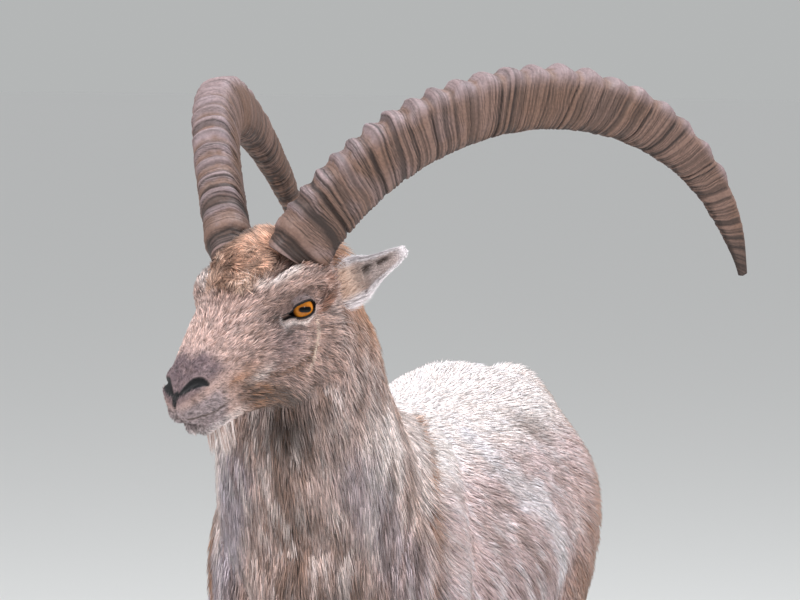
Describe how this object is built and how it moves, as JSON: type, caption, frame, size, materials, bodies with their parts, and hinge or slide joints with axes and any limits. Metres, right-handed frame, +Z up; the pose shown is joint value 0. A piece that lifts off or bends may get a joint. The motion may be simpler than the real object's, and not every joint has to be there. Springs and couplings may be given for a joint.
{
  "type": "alpine ibex",
  "caption": "Life-size model of a standing male alpine ibex with long ridged horns, its head turned to its right.",
  "frame": {"origin": "centre of the bounding box, on the floor under the hooves", "axes": "the body faces -Y and its left side is +X; +Z is up"},
  "size_m": [0.6974, 1.3874, 1.3823],
  "materials": {
    "face_coat": "short matt hair, light tan, grey at the muzzle",
    "neck_coat": "long matt hair, tan grey with pale and brown streaks",
    "body_coat": "matt hair, pale cream above and pinkish brown below",
    "leg_coat": "short matt hair, dark brown",
    "horn": "rough horn, brown grey with dark cracks",
    "hoof": "smooth dark horn",
    "eye": "wet amber eye with a level black pupil"
  },
  "bodies": {
    "root": {"ear_left": "face_coat", "ear_right": "face_coat", "eye_left": "eye", "eye_right": "eye", "foreleg_left_claw_left": "hoof", "foreleg_left_claw_right": "hoof", "foreleg_left_dewclaw_left": "hoof", "foreleg_left_dewclaw_right": "hoof", "foreleg_left_foot": "leg_coat", "foreleg_left_lower": "leg_coat", "foreleg_left_upper": "leg_coat", "foreleg_right_claw_left": "hoof", "foreleg_right_claw_right": "hoof", "foreleg_right_dewclaw_left": "hoof", "foreleg_right_dewclaw_right": "hoof", "foreleg_right_foot": "leg_coat", "foreleg_right_lower": "leg_coat", "foreleg_right_upper": "leg_coat", "head": "face_coat", "hindleg_left_claw_left": "hoof", "hindleg_left_claw_right": "hoof", "hindleg_left_dewclaw_left": "hoof", "hindleg_left_dewclaw_right": "hoof", "hindleg_left_foot": "leg_coat", "hindleg_left_lower": "leg_coat", "hindleg_left_upper": "leg_coat", "hindleg_right_claw_left": "hoof", "hindleg_right_claw_right": "hoof", "hindleg_right_dewclaw_left": "hoof", "hindleg_right_dewclaw_right": "hoof", "hindleg_right_foot": "leg_coat", "hindleg_right_lower": "leg_coat", "hindleg_right_upper": "leg_coat", "horn_left": "horn", "horn_right": "horn", "neck": "neck_coat", "tail": "leg_coat", "torso": "body_coat"}
  },
  "joints": []
}
